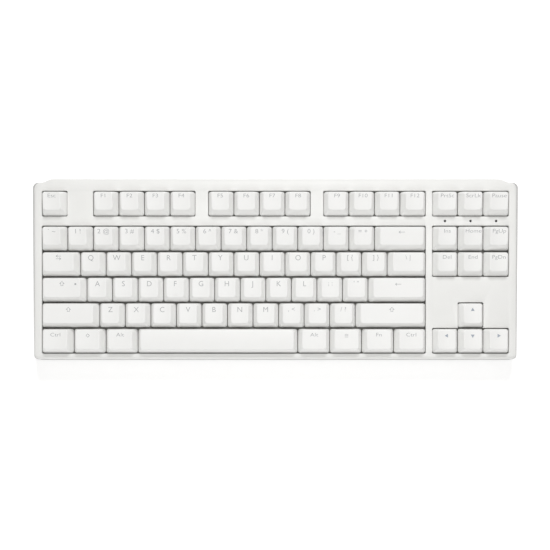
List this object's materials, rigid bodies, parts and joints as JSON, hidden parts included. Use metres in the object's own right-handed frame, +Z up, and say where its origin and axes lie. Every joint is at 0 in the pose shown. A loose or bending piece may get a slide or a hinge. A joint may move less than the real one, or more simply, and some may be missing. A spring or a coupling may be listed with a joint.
{
  "type": "mechanical keyboard",
  "caption": "Tenkeyless mechanical keyboard in white: two-part plastic case, sloping key field with dished caps that travel, folding rear feet and a cable socket.",
  "frame": {"origin": "on the desk, under the middle of the case's plan outline", "axes": "+X to the typist's right, +Y away from the typist, +Z up; the key field leans back by 5 degrees"},
  "size_m": [0.364, 0.135, 0.039],
  "materials": {
    "white_case": "finely textured satin",
    "white_cap": "finely textured satin",
    "grey_plate": "satin powder coat",
    "white_board": "satin lacquer",
    "dark_housing": "satin",
    "grey_foam": "matte foam",
    "smoked_lens": "gloss",
    "steel": "satin",
    "grey_rubber": "matte"
  },
  "bodies": {
    "case": {"bottom_case": "white_case", "top_case": "white_case", "switch_plate": "grey_plate", "circuit_board": "white_board", "switch_housings": "dark_housing", "damping_pad": "grey_foam", "indicator_light_pipe": "smoked_lens", "cable_socket": "steel", "front_rubber_strip": "grey_rubber", "rear_rubber_strip": "grey_rubber", "space_return_spring": "steel"},
    "escape_key": {"escape_key": "white_cap"},
    "backspace_key": {"backspace_key": "white_cap"},
    "tab_key": {"tab_key": "white_cap"},
    "caps_lock_key": {"caps_lock_key": "white_cap"},
    "enter_key": {"enter_key": "white_cap"},
    "left_shift_key": {"left_shift_key": "white_cap"},
    "right_shift_key": {"right_shift_key": "white_cap"},
    "space_key": {"space_key": "white_cap"},
    "a_key": {"a_key": "white_cap"},
    "b_key": {"b_key": "white_cap"},
    "c_key": {"c_key": "white_cap"},
    "d_key": {"d_key": "white_cap"},
    "e_key": {"e_key": "white_cap"},
    "f_key": {"f_key": "white_cap"},
    "g_key": {"g_key": "white_cap"},
    "h_key": {"h_key": "white_cap"},
    "i_key": {"i_key": "white_cap"},
    "j_key": {"j_key": "white_cap"},
    "k_key": {"k_key": "white_cap"},
    "l_key": {"l_key": "white_cap"},
    "m_key": {"m_key": "white_cap"},
    "n_key": {"n_key": "white_cap"},
    "o_key": {"o_key": "white_cap"},
    "p_key": {"p_key": "white_cap"},
    "q_key": {"q_key": "white_cap"},
    "r_key": {"r_key": "white_cap"},
    "s_key": {"s_key": "white_cap"},
    "t_key": {"t_key": "white_cap"},
    "u_key": {"u_key": "white_cap"},
    "v_key": {"v_key": "white_cap"},
    "w_key": {"w_key": "white_cap"},
    "x_key": {"x_key": "white_cap"},
    "y_key": {"y_key": "white_cap"},
    "z_key": {"z_key": "white_cap"},
    "f1_f4_keys": {"f1_f4_keys": "white_cap"},
    "f5_f8_keys": {"f5_f8_keys": "white_cap"},
    "f9_f12_keys": {"f9_f12_keys": "white_cap"},
    "number_keys": {"number_keys": "white_cap"},
    "punctuation_keys": {"punctuation_keys": "white_cap"},
    "left_modifier_keys": {"left_modifier_keys": "white_cap"},
    "right_modifier_keys": {"right_modifier_keys": "white_cap"},
    "system_keys": {"system_keys": "white_cap"},
    "navigation_keys": {"navigation_keys": "white_cap"},
    "arrow_keys": {"arrow_keys": "white_cap"},
    "space_stabiliser_wire": {"space_stabiliser_wire": "steel"},
    "left_tall_foot": {"left_tall_foot": "white_case"},
    "left_short_foot": {"left_short_foot": "white_case"},
    "right_tall_foot": {"right_tall_foot": "white_case"},
    "right_short_foot": {"right_short_foot": "white_case"}
  },
  "joints": [
    {"name": "left_tall_foot_fold", "type": "hinge", "parent": "case", "child": "left_tall_foot", "pos_m": [-0.148, 0.05, 0.0034], "axis": [1, 0, 0], "range_deg": [0, 100]},
    {"name": "left_short_foot_fold", "type": "hinge", "parent": "case", "child": "left_short_foot", "pos_m": [-0.148, 0.05, 0.0034], "axis": [1, 0, 0], "range_deg": [0, 100]},
    {"name": "right_tall_foot_fold", "type": "hinge", "parent": "case", "child": "right_tall_foot", "pos_m": [0.148, 0.05, 0.0034], "axis": [1, 0, 0], "range_deg": [0, 100]},
    {"name": "right_short_foot_fold", "type": "hinge", "parent": "case", "child": "right_short_foot", "pos_m": [0.148, 0.05, 0.0034], "axis": [1, 0, 0], "range_deg": [0, 100]},
    {"name": "space_travel", "type": "slide", "parent": "case", "child": "space_key", "axis": [0, 0.0872, -0.9962], "range_m": [0, 0.004], "stiffness_N_per_m": 75, "springref_m": -0.004, "deforming": ["space_return_spring"]},
    {"name": "f1_f4_travel", "type": "slide", "parent": "case", "child": "f1_f4_keys", "axis": [0, 0.0872, -0.9962], "range_m": [0, 0.004], "stiffness_N_per_m": 300, "springref_m": -0.004},
    {"name": "f5_f8_travel", "type": "slide", "parent": "case", "child": "f5_f8_keys", "axis": [0, 0.0872, -0.9962], "range_m": [0, 0.004], "stiffness_N_per_m": 300, "springref_m": -0.004},
    {"name": "f9_f12_travel", "type": "slide", "parent": "case", "child": "f9_f12_keys", "axis": [0, 0.0872, -0.9962], "range_m": [0, 0.004], "stiffness_N_per_m": 300, "springref_m": -0.004},
    {"name": "number_travel", "type": "slide", "parent": "case", "child": "number_keys", "axis": [0, 0.0872, -0.9962], "range_m": [0, 0.004], "stiffness_N_per_m": 975, "springref_m": -0.004},
    {"name": "punctuation_travel", "type": "slide", "parent": "case", "child": "punctuation_keys", "axis": [0, 0.0872, -0.9962], "range_m": [0, 0.004], "stiffness_N_per_m": 600, "springref_m": -0.004},
    {"name": "left_modifier_travel", "type": "slide", "parent": "case", "child": "left_modifier_keys", "axis": [0, 0.0872, -0.9962], "range_m": [0, 0.004], "stiffness_N_per_m": 225, "springref_m": -0.004},
    {"name": "right_modifier_travel", "type": "slide", "parent": "case", "child": "right_modifier_keys", "axis": [0, 0.0872, -0.9962], "range_m": [0, 0.004], "stiffness_N_per_m": 300, "springref_m": -0.004},
    {"name": "system_travel", "type": "slide", "parent": "case", "child": "system_keys", "axis": [0, 0.0872, -0.9962], "range_m": [0, 0.004], "stiffness_N_per_m": 225, "springref_m": -0.004},
    {"name": "navigation_travel", "type": "slide", "parent": "case", "child": "navigation_keys", "axis": [0, 0.0872, -0.9962], "range_m": [0, 0.004], "stiffness_N_per_m": 450, "springref_m": -0.004},
    {"name": "arrow_travel", "type": "slide", "parent": "case", "child": "arrow_keys", "axis": [0, 0.0872, -0.9962], "range_m": [0, 0.004], "stiffness_N_per_m": 300, "springref_m": -0.004},
    {"name": "escape_travel", "type": "slide", "parent": "case", "child": "escape_key", "axis": [0, 0.0872, -0.9962], "range_m": [0, 0.004], "stiffness_N_per_m": 75, "springref_m": -0.004},
    {"name": "backspace_travel", "type": "slide", "parent": "case", "child": "backspace_key", "axis": [0, 0.0872, -0.9962], "range_m": [0, 0.004], "stiffness_N_per_m": 75, "springref_m": -0.004},
    {"name": "tab_travel", "type": "slide", "parent": "case", "child": "tab_key", "axis": [0, 0.0872, -0.9962], "range_m": [0, 0.004], "stiffness_N_per_m": 75, "springref_m": -0.004},
    {"name": "caps_lock_travel", "type": "slide", "parent": "case", "child": "caps_lock_key", "axis": [0, 0.0872, -0.9962], "range_m": [0, 0.004], "stiffness_N_per_m": 75, "springref_m": -0.004},
    {"name": "enter_travel", "type": "slide", "parent": "case", "child": "enter_key", "axis": [0, 0.0872, -0.9962], "range_m": [0, 0.004], "stiffness_N_per_m": 75, "springref_m": -0.004},
    {"name": "left_shift_travel", "type": "slide", "parent": "case", "child": "left_shift_key", "axis": [0, 0.0872, -0.9962], "range_m": [0, 0.004], "stiffness_N_per_m": 75, "springref_m": -0.004},
    {"name": "right_shift_travel", "type": "slide", "parent": "case", "child": "right_shift_key", "axis": [0, 0.0872, -0.9962], "range_m": [0, 0.004], "stiffness_N_per_m": 75, "springref_m": -0.004},
    {"name": "a_travel", "type": "slide", "parent": "case", "child": "a_key", "axis": [0, 0.0872, -0.9962], "range_m": [0, 0.004], "stiffness_N_per_m": 75, "springref_m": -0.004},
    {"name": "b_travel", "type": "slide", "parent": "case", "child": "b_key", "axis": [0, 0.0872, -0.9962], "range_m": [0, 0.004], "stiffness_N_per_m": 75, "springref_m": -0.004},
    {"name": "c_travel", "type": "slide", "parent": "case", "child": "c_key", "axis": [0, 0.0872, -0.9962], "range_m": [0, 0.004], "stiffness_N_per_m": 75, "springref_m": -0.004},
    {"name": "d_travel", "type": "slide", "parent": "case", "child": "d_key", "axis": [0, 0.0872, -0.9962], "range_m": [0, 0.004], "stiffness_N_per_m": 75, "springref_m": -0.004},
    {"name": "e_travel", "type": "slide", "parent": "case", "child": "e_key", "axis": [0, 0.0872, -0.9962], "range_m": [0, 0.004], "stiffness_N_per_m": 75, "springref_m": -0.004},
    {"name": "f_travel", "type": "slide", "parent": "case", "child": "f_key", "axis": [0, 0.0872, -0.9962], "range_m": [0, 0.004], "stiffness_N_per_m": 75, "springref_m": -0.004},
    {"name": "g_travel", "type": "slide", "parent": "case", "child": "g_key", "axis": [0, 0.0872, -0.9962], "range_m": [0, 0.004], "stiffness_N_per_m": 75, "springref_m": -0.004},
    {"name": "h_travel", "type": "slide", "parent": "case", "child": "h_key", "axis": [0, 0.0872, -0.9962], "range_m": [0, 0.004], "stiffness_N_per_m": 75, "springref_m": -0.004},
    {"name": "i_travel", "type": "slide", "parent": "case", "child": "i_key", "axis": [0, 0.0872, -0.9962], "range_m": [0, 0.004], "stiffness_N_per_m": 75, "springref_m": -0.004},
    {"name": "j_travel", "type": "slide", "parent": "case", "child": "j_key", "axis": [0, 0.0872, -0.9962], "range_m": [0, 0.004], "stiffness_N_per_m": 75, "springref_m": -0.004},
    {"name": "k_travel", "type": "slide", "parent": "case", "child": "k_key", "axis": [0, 0.0872, -0.9962], "range_m": [0, 0.004], "stiffness_N_per_m": 75, "springref_m": -0.004},
    {"name": "l_travel", "type": "slide", "parent": "case", "child": "l_key", "axis": [0, 0.0872, -0.9962], "range_m": [0, 0.004], "stiffness_N_per_m": 75, "springref_m": -0.004},
    {"name": "m_travel", "type": "slide", "parent": "case", "child": "m_key", "axis": [0, 0.0872, -0.9962], "range_m": [0, 0.004], "stiffness_N_per_m": 75, "springref_m": -0.004},
    {"name": "n_travel", "type": "slide", "parent": "case", "child": "n_key", "axis": [0, 0.0872, -0.9962], "range_m": [0, 0.004], "stiffness_N_per_m": 75, "springref_m": -0.004},
    {"name": "o_travel", "type": "slide", "parent": "case", "child": "o_key", "axis": [0, 0.0872, -0.9962], "range_m": [0, 0.004], "stiffness_N_per_m": 75, "springref_m": -0.004},
    {"name": "p_travel", "type": "slide", "parent": "case", "child": "p_key", "axis": [0, 0.0872, -0.9962], "range_m": [0, 0.004], "stiffness_N_per_m": 75, "springref_m": -0.004},
    {"name": "q_travel", "type": "slide", "parent": "case", "child": "q_key", "axis": [0, 0.0872, -0.9962], "range_m": [0, 0.004], "stiffness_N_per_m": 75, "springref_m": -0.004},
    {"name": "r_travel", "type": "slide", "parent": "case", "child": "r_key", "axis": [0, 0.0872, -0.9962], "range_m": [0, 0.004], "stiffness_N_per_m": 75, "springref_m": -0.004},
    {"name": "s_travel", "type": "slide", "parent": "case", "child": "s_key", "axis": [0, 0.0872, -0.9962], "range_m": [0, 0.004], "stiffness_N_per_m": 75, "springref_m": -0.004},
    {"name": "t_travel", "type": "slide", "parent": "case", "child": "t_key", "axis": [0, 0.0872, -0.9962], "range_m": [0, 0.004], "stiffness_N_per_m": 75, "springref_m": -0.004},
    {"name": "u_travel", "type": "slide", "parent": "case", "child": "u_key", "axis": [0, 0.0872, -0.9962], "range_m": [0, 0.004], "stiffness_N_per_m": 75, "springref_m": -0.004},
    {"name": "v_travel", "type": "slide", "parent": "case", "child": "v_key", "axis": [0, 0.0872, -0.9962], "range_m": [0, 0.004], "stiffness_N_per_m": 75, "springref_m": -0.004},
    {"name": "w_travel", "type": "slide", "parent": "case", "child": "w_key", "axis": [0, 0.0872, -0.9962], "range_m": [0, 0.004], "stiffness_N_per_m": 75, "springref_m": -0.004},
    {"name": "x_travel", "type": "slide", "parent": "case", "child": "x_key", "axis": [0, 0.0872, -0.9962], "range_m": [0, 0.004], "stiffness_N_per_m": 75, "springref_m": -0.004},
    {"name": "y_travel", "type": "slide", "parent": "case", "child": "y_key", "axis": [0, 0.0872, -0.9962], "range_m": [0, 0.004], "stiffness_N_per_m": 75, "springref_m": -0.004},
    {"name": "z_travel", "type": "slide", "parent": "case", "child": "z_key", "axis": [0, 0.0872, -0.9962], "range_m": [0, 0.004], "stiffness_N_per_m": 75, "springref_m": -0.004},
    {"name": "stabiliser_wire_turn", "type": "hinge", "parent": "case", "child": "space_stabiliser_wire", "pos_m": [-0.04286, -0.06147, 0.01428], "axis": [-1, 0, 0], "range_deg": [0, 27.2]}
  ],
  "couplings": [
    {"joint": "stabiliser_wire_turn", "follows": "space_travel", "rad_per_m": 118.3}
  ]
}
